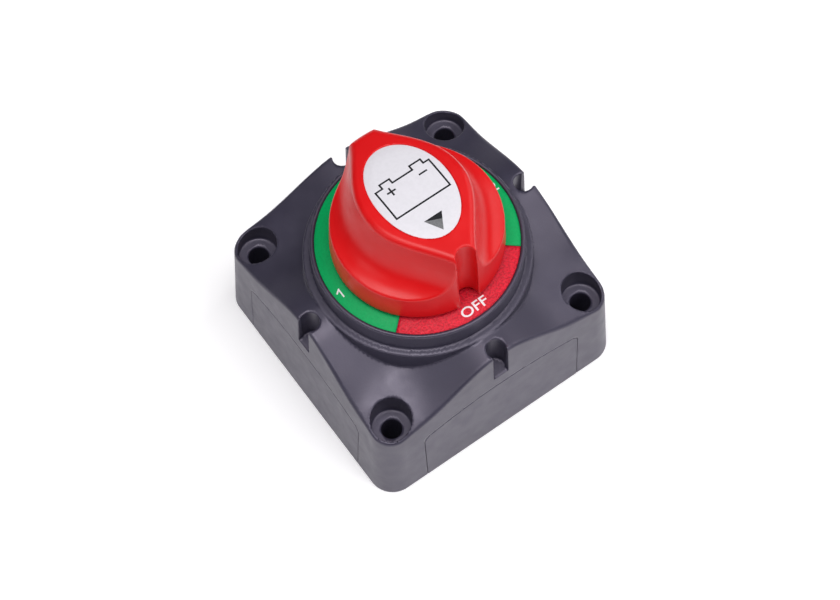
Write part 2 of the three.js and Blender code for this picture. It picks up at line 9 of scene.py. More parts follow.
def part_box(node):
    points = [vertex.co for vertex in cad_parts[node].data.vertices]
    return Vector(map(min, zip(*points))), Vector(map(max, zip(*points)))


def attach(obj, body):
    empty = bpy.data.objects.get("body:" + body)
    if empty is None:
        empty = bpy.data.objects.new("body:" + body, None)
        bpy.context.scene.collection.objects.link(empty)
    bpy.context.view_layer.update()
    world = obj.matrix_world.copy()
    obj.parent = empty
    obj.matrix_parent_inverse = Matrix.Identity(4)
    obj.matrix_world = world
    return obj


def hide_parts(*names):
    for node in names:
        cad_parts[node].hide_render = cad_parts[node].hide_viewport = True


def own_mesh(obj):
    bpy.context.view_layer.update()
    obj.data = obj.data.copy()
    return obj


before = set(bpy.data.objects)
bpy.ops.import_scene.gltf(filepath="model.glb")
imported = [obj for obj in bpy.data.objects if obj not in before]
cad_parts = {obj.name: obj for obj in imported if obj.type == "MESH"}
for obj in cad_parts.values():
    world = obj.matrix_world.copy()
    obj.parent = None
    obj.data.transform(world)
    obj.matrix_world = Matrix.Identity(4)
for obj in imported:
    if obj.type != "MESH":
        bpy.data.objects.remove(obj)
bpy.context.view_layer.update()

MM = 0.001                       # shapes are worked out in millimetres


def span(node):
    """Lowest and highest corner of a CAD node in millimetres."""
    low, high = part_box(node)
    return np.array(low) / MM, np.array(high) / MM


# ------------------------------------------------------------------ sizes, in mm

HALF, _, DIAL_Z = span("housing")[1]       # half the side of the base, top of the dial ring's rim
KNOB_Z = span("knob")[0][2]                # the knob's lower edge and its top
KNOB_TOP = span("knob")[1][2]
SCREWS = [sum(span(f"plate_screw_{i}")) / 2 for i in (1, 2, 3)]
TERMINALS = ("battery_1", "battery_2", "common")
OVERLAP = 1.0                    # how far a cut or a joined shape reaches past the face it starts from
FINE_EDGE = 0.1                  # rounding of seams, grooves and other crisp edges

CORNER_R = 6.0                   # housing, outside
DRAFT = 0.052                    # lean of the side walls
CORNER_LEAN = 0.2                # share of that lean by which the corners sharpen upward
WALL = 2.5
DECK_R = 26.9                    # the step round the dial
DECK_Z = 38.4
DIAL_R = 25.0
LABEL_R = 24.0                   # the recess for the printed ring
LABEL_SEAT_Z = 43.7
DECK_EDGE = 0.35
DECK_FILLET = 0.3
RIM_EDGE = 0.45
RIM_FILLET = 0.12
SEAT_EDGE = 0.4
FOOT_EDGE = 0.35

VALLEY_Z = 31.0                  # top surface: it falls to this away from the sides' middles,
ARCH_START = 0.4
ARCH_RUN = 20.5
ARCH_BLEND = 7.0
PAD_START = 36.0                 # and slopes on down to the corners from this far out
PAD_BLEND = 5.0
PAD_SLOPE = 0.52
TOP_LEVELLING = 0.93             # scales the top's field back to about a true distance
TOP_EDGE = 0.75                  # rounding between the top and the side walls
LIP_SHARPER = 0.45               # less of it at the thin rim round a corner bore
LIP_WIDTH = 2.0

HOLE_XY = 27.5                   # corner holes
HOLE_R = 2.5
BORE_R = 4.85
BORE_Z = 22.7
BORE_EDGE = 0.2
BORE_FILLET = 0.45
HOLE_EDGE = 0.25
POST_R = 6.3

SLOT_AT = 30.7                   # keyhole slots
SLOT_R = 2.4
SLOT_HALF = 2.1
SLOT_FLOOR_Z = 27.3
SLOT_EDGE = 0.15
SLOT_FILLET = 0.2

PANEL_HALF = 22.4                # side panels
PANEL_SIDE_Z = 20.4
PANEL_TOP_Z = 23.4
PANEL_CORNER = 1.8
PANEL_SEAM = 0.1
PANEL_INNER = 31.5
PANEL_RIB_AT = 14.0
PANEL_RIB_HALF = 0.6
PANEL_RIB_DEEP = 1.6
PANEL_RIB_Z = (2.0, 19.0)
PANEL_RIB_FILLET = 0.3
PANEL_FOOT_EDGE = 0.2
GROOVE = 1.2                     # the grooves that the panels slide in, and the panels' room in them
GROOVE_NEAR = 31.3
GROOVE_FAR = 32.9
GROOVE_TOP = 18.2
GROOVE_ROOM = 0.25
TONGUE_Z = 0.4

CAVITY_TOP = 24.0                # housing, inside
CAVITY_FILLET = 0.8
INNER_EDGE = 0.3
CHAMBER_R = 21.2
ROOF_Z = 39.0
GASKET_R = 22.7
GASKET_HALF = 0.75
GASKET_Z = 25.4
PILOT_R = 1.4                    # holes for the plate's screws
PILOT_Z = 29.5
DIMPLE_AT = 14.5                 # dimples for the detent plungers
DIMPLE_Z = 37.5
DIMPLE_R = 2.25
SHAFT_BORE_R = 4.6
SHAFT_BORE_Z = 60.0              # past the rim, so that the bore is open
SEAL_R = 6.9
SEAL_Z = 40.8

PLATE_R = 28.2                   # terminal plate
PLATE_Z = 19.7
PLATE_TOP = 23.7
HUB_R = 4.4
HUB_TOP = 25.2
PAD_R = 9.2
PAD_Z = 18.9
STUD_ROOM = 0.2
BARRIERS = (90, -22.5, -157.5)   # directions of the barriers between the terminals
BARRIER_CORE_R = 3.0
BARRIER_HALF = 0.8
BARRIER_REACH = 22.0
BARRIER_Z = 9.0
SCREW_HOLE_R = 1.5
PLATE_EDGE = 0.3                 # its larger edges and fillets, and its smaller ones
PLATE_FINE = 0.2

STUD_R = 4.95                    # terminals
STUD_FLANGE_R = 5.7
STUD_FLANGE_LIFT = 0.15
STUD_NECK = 0.1                  # the plain shank is this much thinner
STUD_CHAMFER = 0.9
THREAD_TOP = 18.0
THREAD_PITCH = 1.5
THREAD_DEPTH = 0.75
WASHER_R = 9.0
WASHER_ROOM = 0.25
SPLIT_R = 8.6
SPLIT_HALF = 0.35
SPLIT_LEAN = 0.35
NUT_FLATS = 17.0
NUT_THICK = 6.0
NUT_CHAMFER_R = 8.9
NUT_CHAMFER = 1.75               # slope of the nut's rounded-off corners
NUT_BORE = 0.85                  # the nut's thread is this much larger than the stud, and this deep
NUT_THREAD_DEPTH = 0.65
NUT_COUNTERSINK = 0.25

CAP_R = 2.6                      # plate screws: the head, its cross recess, and the shank
CAP_LIFT = 0.15
CAP_EDGE = 0.5
CROSS_R = 1.7
CROSS_HALF = 0.3
CROSS_DEEP = 0.9
SHANK_R = 1.25

# ------------------------------------------------------------------ solids as signed fields


def meet(a, b, r=0.0):
    """What two fields share, with their edge rounded to radius r."""
    if np.all(r == 0):
        return np.maximum(a, b)
    corner = np.hypot(np.maximum(a + r, 0), np.maximum(b + r, 0))
    return np.minimum(np.maximum(a, b), -r) + corner


def join(a, b, r=0.0):
    """Two fields together, with a fillet of radius r between them."""
    return -meet(-a, -b, r)


def cut(a, b, r=0.0):
    """Field a without field b."""
    return meet(a, -b, r)


def slab(z, low, high):
    """The field of a layer between two heights."""
    return np.maximum(low - z, z - high)


def smooth(t):
    """An even step from 0 to 1."""
    t = np.clip(t, 0, 1)
    return t * t * (3 - 2 * t)


def round_square(x, y, half, corner):
    """The field of a square prism with rounded corners."""
    qx = np.abs(x) - (half - corner)
    qy = np.abs(y) - (half - corner)
    return np.hypot(np.maximum(qx, 0), np.maximum(qy, 0)) + np.minimum(np.maximum(qx, qy), 0) - corner


def ellipse(x, y, a, b):
    """Roughly the distance outside an ellipse."""
    near = np.hypot(x / a, y / b)
    slope = np.hypot(x / a ** 2, y / b ** 2) + 1e-6
    return near * (near - 1) / slope


def slope_of(field, points):
    """The field's unit gradient at some points, by small steps."""
    step = 0.02                  # mm
    parts = []
    for axis in range(3):
        ahead, behind = points.copy(), points.copy()
        ahead[:, axis] += step
        behind[:, axis] -= step
        parts.append(field(*ahead.T) - field(*behind.T))
    slope = np.stack(parts, axis=1)
    return slope / (np.linalg.norm(slope, axis=1)[:, None] + 1e-12)


def crossing(field, start, end):
    """Where the field is zero on the way from each start to its end, by false position."""
    first, second = field(*start.T), field(*end.T)
    for _ in range(3):
        share = (first / (first - second))[:, None]
        middle = start + (end - start) * share
        value = field(*middle.T)
        before = ((value < 0) == (first < 0))
        start, end = np.where(before[:, None], middle, start), np.where(before[:, None], end, middle)
        first, second = np.where(before, value, first), np.where(before, second, value)
    return middle


MIDDLE_PULL = 0.04               # how firmly a skin's points hold to the middle of their cell's crossings


def skin(field, xs, ys, zs):
    """Points, faces and normals of the surface where the field is zero.

    One point in every grid cell that the surface crosses, placed where the planes
    at the crossed cell edges meet best, so that edges stay crisp.
    """
    grid = (xs, ys, zs)
    value = field(xs[:, None, None], ys[None, :, None], zs[None, None, :])
    inside = np.broadcast_to(value, (len(xs), len(ys), len(zs))) < 0
    size = np.array(inside.shape) - 1
    full = np.zeros(size, dtype=np.int8)
    for i, j, k in itertools.product((0, 1), repeat=3):
        full += inside[i:i + size[0], j:j + size[1], k:k + size[2]]
    cells = np.argwhere((full > 0) & (full < 8))
    count = len(cells)
    number = np.full(size, -1)
    number[tuple(cells.T)] = np.arange(count)

    faces, owners, hits, planes = [], [], [], []
    for axis in range(3):
        u, v = (axis + 1) % 3, (axis + 2) % 3
        here = [slice(1, -1)] * 3
        ahead = [slice(1, -1)] * 3
        here[axis], ahead[axis] = slice(0, -1), slice(1, None)
        low, high = inside[tuple(here)], inside[tuple(ahead)]
        at = np.argwhere(low != high)
        outward = low[tuple(at.T)]
        at[:, u] += 1
        at[:, v] += 1
        start = np.stack([grid[c][at[:, c]] for c in range(3)], axis=1)
        end = start.copy()
        end[:, axis] = grid[axis][at[:, axis] + 1]
        hit = crossing(field, start, end)
        plane = slope_of(field, hit)
        ring = []
        for du, dv in ((-1, -1), (0, -1), (0, 0), (-1, 0)):
            cell = at.copy()
            cell[:, u] += du
            cell[:, v] += dv
            ring.append(number[tuple(cell.T)])
            owners.append(ring[-1])
            hits.append(hit)
            planes.append(plane)
        quad = np.stack(ring, axis=1)
        faces.append(np.where(outward[:, None], quad, quad[:, ::-1]))
    owner, hit, plane = np.concatenate(owners), np.concatenate(hits), np.concatenate(planes)

    def per_cell(amount):
        return np.bincount(owner, amount, count)

    share = np.maximum(per_cell(np.ones(len(owner))), 1)
    middle = np.stack([per_cell(hit[:, c]) / share for c in range(3)], axis=1)
    offset = (plane * (hit - middle[owner])).sum(axis=1)
    pull = np.stack([per_cell(plane[:, c] * offset) for c in range(3)], axis=1)
    matrix = np.empty((count, 3, 3))
    for a, b in itertools.product(range(3), repeat=2):
        matrix[:, a, b] = per_cell(plane[:, a] * plane[:, b])
    matrix += np.eye(3) * MIDDLE_PULL * share[:, None, None]
    points = middle + np.linalg.solve(matrix, pull[:, :, None])[:, :, 0]
    for c in range(3):
        points[:, c] = np.clip(points[:, c], grid[c][cells[:, c]], grid[c][cells[:, c] + 1])
    return points, np.concatenate(faces), slope_of(field, points)


def steps(low, high, size):
    """Evenly spaced places from low to high, no more than size apart, with one to spare at each end."""
    count = math.ceil((high - low) / size)
    return np.linspace(low - size, high + size, count + 3)


# ------------------------------------------------------------------ Blender objects


def make(name, points, faces, normals=None):
    """A smooth-shaded mesh object from points in millimetres."""
    mesh = bpy.data.meshes.new(name)
    faces = faces.tolist() if isinstance(faces, np.ndarray) else faces
    mesh.from_pydata((np.asarray(points) * MM).tolist(), [], faces)
    mesh.polygons.foreach_set("use_smooth", [True] * len(mesh.polygons))
    if normals is not None:
        mesh.normals_split_custom_set_from_vertices(normals.tolist())
    mesh.update()
    obj = bpy.data.objects.new(name, mesh)
    bpy.context.scene.collection.objects.link(obj)
    return obj


def place(obj, body, material, slot, *nodes):
    """Gives a piece its material and its body, and hides the CAD nodes that it stands for; the slot is not
    used.
    """
    obj.data.materials.append(material)
    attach(obj, body)
    if nodes:
        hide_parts(*nodes)
    return obj


# ------------------------------------------------------------------ materials


class Shader:
    """A Principled material whose nodes are added by short calls."""

    def __init__(self, name, roughness, metallic=0.0, specular=0.5):
        self.material = bpy.data.materials.new(name)
        self.material.use_nodes = True
        self.tree = self.material.node_tree
        self.bsdf = self.tree.nodes["Principled BSDF"]
        self.bsdf.inputs["Metallic"].default_value = metallic
        self.bsdf.inputs["Roughness"].default_value = roughness
        self.bsdf.inputs["Specular IOR Level"].default_value = specular
        self.place = self.tree.nodes.new("ShaderNodeTexCoord").outputs["Object"]
        self.height = None

    def node(self, kind, inputs=(), **settings):
        """A new node; its inputs take sockets or plain values."""
        made = self.tree.nodes.new(kind)
        for key, value in settings.items():
            setattr(made, key, value)
        for key, value in dict(inputs).items():
            if isinstance(value, bpy.types.NodeSocket):
                self.tree.links.new(value, made.inputs[key])
            else:
                made.inputs[key].default_value = value
        return made

    def noise(self, size_mm, detail=2.0, roughness=0.5):
        """Noise whose features are about size_mm across."""
        made = self.node("ShaderNodeTexNoise", {"Vector": self.place, "Scale": 1 / (size_mm * MM)})
        made.inputs["Detail"].default_value = detail
        made.inputs["Roughness"].default_value = roughness
        return made.outputs["Fac"]

    def ramp(self, fac, stops):
        """Colours or greys along a value."""
        made = self.node("ShaderNodeValToRGB", {"Fac": fac})
        elements = made.color_ramp.elements
        while len(elements) < len(stops):
            elements.new(0.5)
        for element, (position, value) in zip(elements, stops):
            element.position = position
            element.color = (*value, 1) if isinstance(value, tuple) else (value, value, value, 1)
        return made.outputs["Color"]

    def times(self, a, b):
        return self.node("ShaderNodeMath", {0: a, 1: b}, operation="MULTIPLY").outputs[0]

    def mix(self, fac, a, b, blend_type="MIX"):
        """Colour a mixed with colour b; each is a socket or a plain colour."""
        made = self.node("ShaderNodeMix", data_type="RGBA", blend_type=blend_type)
        for socket, value in zip((made.inputs[0], made.inputs[6], made.inputs[7]), (fac, a, b)):
            if isinstance(value, bpy.types.NodeSocket):
                self.tree.links.new(value, socket)
            else:
                socket.default_value = (*value, 1) if isinstance(value, tuple) else value
        return made.outputs[2]

    def colour(self, socket):
        self.tree.links.new(socket, self.bsdf.inputs["Base Color"])

    def rough(self, socket):
        self.tree.links.new(socket, self.bsdf.inputs["Roughness"])

    def bump(self, fac, height_mm):
        """Adds bump whose full swing is height_mm."""
        made = self.node("ShaderNodeBump", {"Height": fac, "Distance": height_mm * MM, "Strength": 1.0})
        if self.height is not None:
            self.tree.links.new(self.height, made.inputs["Normal"])
        self.height = made.outputs["Normal"]
        self.tree.links.new(self.height, self.bsdf.inputs["Normal"])


def scaled(colour, share):
    """A colour made lighter or darker."""
    return tuple(min(1, c * share) for c in colour)


def moulded(name, colour, roughness, grain_mm, grain_height, mottling, specular=0.5):
    """Moulded plastic: fine grain, faint flow mottling, slightly paler worn edges."""
    s = Shader(name, roughness, specular=specular)
    flow = s.noise(size_mm=14, detail=3)
    base = s.ramp(flow, [(0.3, scaled(colour, 1 - mottling)), (0.7, scaled(colour, 1 + mottling))])
    edge = s.node("ShaderNodeNewGeometry").outputs["Pointiness"]
    wear = s.ramp(edge, [(0.52, 0.0), (0.62, 1.0)])
    patches = s.ramp(s.noise(size_mm=2.5, detail=4), [(0.35, 0.0), (0.75, 0.22)])
    worn = tuple(min(1, c * 1.5 + 0.02) for c in colour)
    s.colour(s.mix(s.times(wear, patches), base, worn))
    handled = s.noise(size_mm=3.5, detail=4)
    s.rough(s.ramp(handled, [(0.25, roughness - 0.05), (0.75, roughness + 0.06)]))
    s.bump(s.noise(grain_mm), grain_height)
    s.bump(flow, 0.02)
    return s.material


def film(name, colour, roughness, peel_mm=0.5, peel_height=0.015, ink_unevenness_and_pit_shade=0.04):
    """Printed film with an orange-peel surface, and painted shade that darkens the colour in the peel's
    pits.
    """
    s = Shader(name, roughness, specular=0.2)
    ink = s.noise(size_mm=5)
    base = s.ramp(ink, [(0.3, scaled(colour, 1 - ink_unevenness_and_pit_shade)), (0.7, scaled(colour, 1 + ink_unevenness_and_pit_shade))])
    peel = s.noise(peel_mm, detail=1.5)
    # painted shade: the colour darkens where the peel's noise is low, in its pits, by up to five times the
    # ink's unevenness
    painted_pit_shade = s.ramp(peel, [(0.35, 1 - 5 * ink_unevenness_and_pit_shade), (0.6, 1.0)])
    s.colour(s.mix(1.0, base, painted_pit_shade, "MULTIPLY"))
    handled = s.noise(size_mm=1.2, detail=3)
    s.rough(s.ramp(handled, [(0.3, roughness - 0.06), (0.7, roughness + 0.06)]))
    s.bump(peel, peel_height)
    return s.material


def metal(name, colour, roughness):
    """Machined metal with fine marks and faint stains."""
    s = Shader(name, roughness, metallic=1.0)
    stain = s.noise(size_mm=4, detail=4)
    s.colour(s.ramp(stain, [(0.3, scaled(colour, 0.82)), (0.65, colour)]))
    marks = s.noise(size_mm=0.5, detail=5, roughness=0.65)
    s.rough(s.ramp(marks, [(0.25, roughness - 0.08), (0.75, roughness + 0.12)]))
    s.bump(s.noise(size_mm=0.25, detail=3), 0.006)
    return s.material


# name, colour, roughness, then the grain's size and height in mm, and the mottling
HOUSING = moulded("housing_plastic", (0.037, 0.034, 0.057), 0.42, 0.45, 0.012, 0.1, specular=0.8)
HOUSING.node_tree.nodes["Principled BSDF"].inputs["Specular Tint"].default_value = (0.92, 0.84, 1.0, 1)
RED = moulded("knob_plastic", (0.7, 0.007, 0.009), 0.33, 0.8, 0.008, 0.04, specular=0.3)
BLACK = moulded("insulator_plastic", (0.022, 0.022, 0.025), 0.5, 0.4, 0.02, 0.15)
NYLON = moulded("nylon", (0.66, 0.64, 0.57), 0.42, 0.5, 0.012, 0.05)
RUBBER = moulded("seal_rubber", (0.014, 0.014, 0.015), 0.75, 0.3, 0.02, 0.15, specular=0.3)
# name, colour, roughness, then the peel's size and height in mm, and how uneven the ink is, which also sets
# how dark the painted shade in the peel's pits is
GREEN_PRINT = film("dial_green", (0.0, 0.4, 0.11), 0.5, 0.5, 0.03, 0.02)
RED_PRINT = film("dial_red", (0.72, 0.012, 0.035), 0.42, 0.5, 0.2, 0.07)
WHITE_PRINT = film("print_white", (0.84, 0.83, 0.86), 0.4, ink_unevenness_and_pit_shade=0.01)
DECAL_WHITE = film("decal_white", (0.74, 0.72, 0.77), 0.4, 0.9, 0.004, 0.006)
BLACK_PRINT = film("print_black", (0.018, 0.018, 0.022), 0.35)
GREY_PRINT = film("print_grey", (0.2, 0.2, 0.21), 0.3)
STEEL = metal("steel", (0.55, 0.55, 0.56), 0.3)
COPPER = metal("copper", (0.78, 0.40, 0.25), 0.28)
TINNED = metal("tinned_copper", (0.66, 0.66, 0.63), 0.26)

# ------------------------------------------------------------------ housing


def top_height(x, y):
    """Height of the housing's top surface outside the dial."""
    ax, ay = np.abs(x), np.abs(y)
    nearest = (ax + ay - np.hypot(ax - ay, ARCH_BLEND)) / 2
    arch = 1 - smooth((nearest - ARCH_START) / ARCH_RUN)
    past = (ax + ay) / math.sqrt(2) - PAD_START
    fall = PAD_SLOPE * (past + np.hypot(past, PAD_BLEND)) / 2
    return VALLEY_Z + (DECK_Z - VALLEY_Z) * arch - fall


def panel_outline(u, z, margin):
    """A side panel's outline: u is the distance along the side."""
    rise = PANEL_TOP_Z - PANEL_SIDE_Z
    top = z - (PANEL_TOP_Z - rise * (u / PANEL_HALF) ** 2)
    return meet(np.abs(u) - PANEL_HALF - margin, top, PANEL_CORNER)


def housing_outside(x, y, z, corner):
    """The moulding's outer shape; corner is the distance from the nearest corner hole's axis."""
    radius = np.hypot(x, y)
    walls = round_square(x, y, HALF - DRAFT * z, CORNER_R - DRAFT * z * CORNER_LEAN)
    edge = TOP_EDGE - LIP_SHARPER * (1 - smooth((corner - BORE_R) / LIP_WIDTH))
    body = meet(walls, (z - top_height(x, y)) * TOP_LEVELLING, edge)
    body = join(body, meet(radius - DECK_R, z - DECK_Z, DECK_EDGE), DECK_FILLET)
    dial = meet(radius - DIAL_R, z - DIAL_Z, RIM_EDGE)
    dial = cut(dial, meet(radius - LABEL_R, LABEL_SEAT_Z - z), SEAT_EDGE)
    return meet(join(body, dial, RIM_FILLET), -z, FOOT_EDGE)


def keyholes(across, out, z):
    """The slots in the middle of each side: a round end with a parallel mouth."""
    hole = np.hypot(across, out - SLOT_AT) - SLOT_R
    mouth = np.maximum(across - SLOT_HALF, SLOT_AT - out)
    return meet(np.minimum(hole, mouth), SLOT_FLOOR_Z - z, SLOT_FILLET)


def gasket_seat(x, y, z, radius):
    """The groove for the chamber's gasket, with the plate screws' holes in it."""
    seat = np.maximum(np.abs(radius - GASKET_R) - GASKET_HALF, slab(z, CAVITY_TOP - OVERLAP, GASKET_Z))
    for sx, sy, _ in SCREWS:
        pilot = np.maximum(np.hypot(x - sx, y - sy) - PILOT_R, slab(z, CAVITY_TOP - OVERLAP, PILOT_Z))
        seat = np.minimum(seat, pilot)
    return seat


def shaft_space(radius, z):
    """The contact chamber with the shaft's bore and the seal's seat above it."""
    chamber = np.maximum(radius - CHAMBER_R, slab(z, CAVITY_TOP - OVERLAP, ROOF_Z))
    shaft = np.maximum(radius - SHAFT_BORE_R, slab(z, ROOF_Z - OVERLAP, SHAFT_BORE_Z))
    seal = np.maximum(radius - SEAL_R, SEAL_Z - z)
    return np.minimum(chamber, np.minimum(shaft, seal))


def housing_field(x, y, z):
    """The whole moulding; across and out are the distances along and towards the nearest side."""
    ax, ay = np.abs(x), np.abs(y)
    radius = np.hypot(x, y)
    across, out = np.minimum(ax, ay), np.maximum(ax, ay)
    corner = np.hypot(ax - HOLE_XY, ay - HOLE_XY)
    body = housing_outside(x, y, z, corner)

    inner = round_square(x, y, HALF - WALL - DRAFT * z, CORNER_R - WALL)
    cavity = cut(meet(inner, z - CAVITY_TOP, CAVITY_FILLET), corner - POST_R, CAVITY_FILLET)
    body = cut(body, cavity, INNER_EDGE)
    body = cut(body, meet(corner - BORE_R, BORE_Z - z, BORE_FILLET), BORE_EDGE)
    body = cut(body, corner - HOLE_R, HOLE_EDGE)
    body = cut(body, keyholes(across, out, z), SLOT_EDGE)

    opening = np.maximum(panel_outline(across, z, 0), PANEL_INNER - OVERLAP - out)
    body = cut(body, opening, FINE_EDGE)
    groove = np.maximum(across - PANEL_HALF - GROOVE, slab(out, GROOVE_NEAR, GROOVE_FAR))
    body = cut(body, np.maximum(groove, z - GROOVE_TOP), FINE_EDGE)

    dimple = np.sqrt(across ** 2 + (out - DIMPLE_AT) ** 2 + (z - DIMPLE_Z) ** 2) - DIMPLE_R
    body = cut(body, np.minimum(gasket_seat(x, y, z, radius), dimple), FINE_EDGE)
    return cut(body, shaft_space(radius, z), INNER_EDGE)


def housing():
    """The moulding, in coarse steps up its plain walls and fine ones everywhere else."""
    size = 0.485
    across = steps(-HALF, HALF, size)
    foot, walls = [-0.6, -0.2, 0.15, 0.5, 0.9], np.arange(1.6, 17, 1.3)
    zs = np.concatenate([foot, walls, steps(18.4, DIAL_Z, size)])
    points, faces, normals = skin(housing_field, across, across, zs)
    piece = make("housing_moulding", points, faces, normals)
    return place(piece, "housing_body", HOUSING, "housing_plastic", "housing")


def panel_field(x, y, z):
    """The front side panel, with tongues at its sides and ribs on its back."""
    outline = meet(panel_outline(x, z, -PANEL_SEAM), PANEL_SEAM - z, PANEL_FOOT_EDGE)
    plate = meet(outline, -y - (HALF - DRAFT * z), FINE_EDGE)
    plate = meet(plate, y + PANEL_INNER)
    along = slab(-y, GROOVE_NEAR + GROOVE_ROOM, GROOVE_FAR - GROOVE_ROOM)
    tongue = np.maximum(np.abs(x) - PANEL_HALF - GROOVE + PANEL_SEAM, along)
    tongue = np.maximum(tongue, slab(z, TONGUE_Z, GROOVE_TOP - GROOVE_ROOM))
    rib = np.minimum(np.abs(x), np.abs(np.abs(x) - PANEL_RIB_AT)) - PANEL_RIB_HALF
    rib = np.maximum(rib, slab(-y, PANEL_INNER - PANEL_RIB_DEEP, PANEL_INNER + 0.5))
    rib = np.maximum(rib, slab(z, *PANEL_RIB_Z))
    return join(join(plate, tongue, FINE_EDGE), rib, PANEL_RIB_FILLET)


def side_panels():
    """One panel for each side, all of the same shape."""
    xs = steps(-PANEL_HALF - GROOVE, PANEL_HALF + GROOVE, 0.45)
    ys = steps(-HALF, -PANEL_INNER + PANEL_RIB_DEEP, 0.35)
    zs = steps(PANEL_SEAM, PANEL_TOP_Z, 0.45)
    points, faces, normals = skin(panel_field, xs, ys, zs)
    for turns, side in enumerate(("front", "right", "back", "left")):
        turn = np.array(Matrix.Rotation(math.pi / 2 * turns, 3, "Z"))
        piece = make(f"panel_{side}", points @ turn.T, faces, normals @ turn.T)
        place(piece, "housing_body", HOUSING, "housing_plastic", f"side_panel_{side}")


# ------------------------------------------------------------------ knob

HANDLE_MEAN = 6.69               # the handle's half width swings about this like a cosine
HANDLE_SWING = 6.01
HANDLE_FRONT = 26.0              # length of half a wave towards the notch, and towards the tail
HANDLE_BACK = 28.2
HANDLE_FULLNESS = 1.17           # above 1, the handle keeps its width longer towards the tail
SCOOP_Z = 51.5                   # floor of the scoops at the handle's sides
SCOOP_K = 20.0                   # how far the scoops' walls spread on the way down
KNOB_R = 20.4
KNOB_DRAFT = 0.05
KNOB_WALL = 2.4
KNOB_ROOF = 3.2
ROLL_Y = -3.0                    # the top curves down from here towards the tail
ROLL_K = 0.0075
TAIL_R = 21.55
TAIL_Z = 53.0                    # the tail stands out from the skirt above this
TAIL_RISE = 9.0
TAIL_TAPER = 4.0                 # how quickly it fades towards the handle's sides
BEVEL = 0.8
BEVEL_EDGE = 0.45
HANDLE_EDGE = 0.4                # between the handle and the skirt
KNOB_FOOT_EDGE = 0.3
HOLLOW_FILLET = 0.4
HOLLOW_EDGE = 0.3
NOTCH_Y = -19.4
NOTCH_R = 2.7
NOTCH_LEAN = 0.01
NOTCH_WALL = 2.0
NOTCH_EDGE = 0.25
DECAL_A = 9.3
DECAL_B = 13.7
DECAL_Y = 1.5
DECAL_RECESS = 0.35
DECAL_EDGE = 0.12
DECAL_GAP = 0.06
BOSS_R = 5.8                     # inside: the boss on the shaft, and two ribs
RIB_HALF = 0.8
RIB_LIFT = 3.0
SOCKET_HALF = 3.2                # square hole for the shaft's end
SOCKET_Z = 57.4
COLLAR_R = 4.6                   # round hole for the shaft below it
COLLAR_Z = 46.3
SCREW_R = 2.0                    # holes for the screw and its head
SCREW_HEAD_R = 4.0
SCREW_SEAT_Z = 61.0
SHAFT_EDGE = 0.15


def knob_top(y):
    """Height of the handle's top, which curves down towards its tail."""
    return KNOB_TOP - ROLL_K * np.maximum(y - ROLL_Y, 0) ** 2


def handle_field(x, y, z):
    """The scooped handle, endless upward."""
    wave = np.where(y < 0, HANDLE_FRONT, HANDLE_BACK)
    power = np.where(y < 0, 1, HANDLE_FULLNESS)
    share = np.abs(y) / wave
    phase = np.pi * share ** power
    half = HANDLE_MEAN + HANDLE_SWING * np.cos(phase)
    half_slope = HANDLE_SWING * np.pi * power * share ** (power - 1) / wave * np.sin(phase)
    above = np.maximum(z - SCOOP_Z, 0.5)
    spread = SCOOP_K / above - SCOOP_K / (KNOB_TOP - SCOOP_Z)
    spread_slope = SCOOP_K / above ** 2
    return (np.abs(x) - half - spread) / np.sqrt(1 + half_slope ** 2 + spread_slope ** 2)


def skirt_field(x, y, z, radius):
    """The round skirt, and the tail that grows out of it at the handle's back."""
    lean = KNOB_DRAFT * (z - KNOB_Z)
    narrow = smooth(2 - TAIL_TAPER * np.abs(x) / (radius + 0.1))
    lobe = smooth((z - TAIL_Z) / TAIL_RISE) * narrow * smooth(y)
    return radius - KNOB_R + lean - lobe * (TAIL_R - KNOB_R + lean)


def knob_inside(x, y, z, radius, outer):
    """The hollow under the knob, less its boss, ribs and the wall behind the notch."""
    hollow = np.maximum(outer + KNOB_WALL, z - knob_top(y) + KNOB_ROOF)
    rib = np.maximum(np.abs(x) - RIB_HALF, KNOB_Z + RIB_LIFT - z)
    notch_back = np.hypot(x, y - NOTCH_Y) - NOTCH_R - NOTCH_WALL
    kept = np.minimum(np.minimum(radius - BOSS_R, rib), notch_back)
    return cut(hollow, kept, HOLLOW_FILLET)


def shaft_holes(x, y, z, radius):
    """The boss's square socket and collar below, and the screw's hole and seat above."""
    socket = np.maximum(np.maximum(np.abs(x), np.abs(y)) - SOCKET_HALF, z - SOCKET_Z)
    collar = np.maximum(radius - COLLAR_R, z - COLLAR_Z)
    screw = np.minimum(np.maximum(radius - SCREW_R, z - KNOB_TOP),
                       np.maximum(radius - SCREW_HEAD_R, SCREW_SEAT_Z - z))
    return np.minimum(np.minimum(socket, collar), screw)


def knob_field(x, y, z):
    """The whole knob."""
    radius = np.hypot(x, y)
    outer = meet(skirt_field(x, y, z, radius), handle_field(x, y, z), HANDLE_EDGE)
    over = z - knob_top(y)
    bevel = (outer + over + BEVEL) / math.sqrt(2)
    body = meet(meet(outer, over, FINE_EDGE), bevel, BEVEL_EDGE)
    body = meet(body, KNOB_Z - z, KNOB_FOOT_EDGE)
    body = cut(body, knob_inside(x, y, z, radius, outer), HOLLOW_EDGE)
    notch = np.hypot(x - NOTCH_LEAN * (KNOB_TOP - z), y - NOTCH_Y) - NOTCH_R
    body = cut(body, notch, NOTCH_EDGE)
    decal = np.maximum(ellipse(x, y - DECAL_Y, DECAL_A, DECAL_B), knob_top(y) - DECAL_RECESS - z)
    body = cut(body, decal, DECAL_EDGE)
    return cut(body, shaft_holes(x, y, z, radius), SHAFT_EDGE)


def knob():
    size = 0.33
    xs = steps(-KNOB_R, KNOB_R, size)
    ys = steps(-KNOB_R, TAIL_R + 0.1, size)
    zs = steps(KNOB_Z, KNOB_TOP, size)
    points, faces, normals = skin(knob_field, xs, ys, zs)
    piece = make("knob_moulding", points, faces, normals)
    return place(piece, "rotor", RED, "knob_plastic", "knob")


# ------------------------------------------------------------------ printed pieces

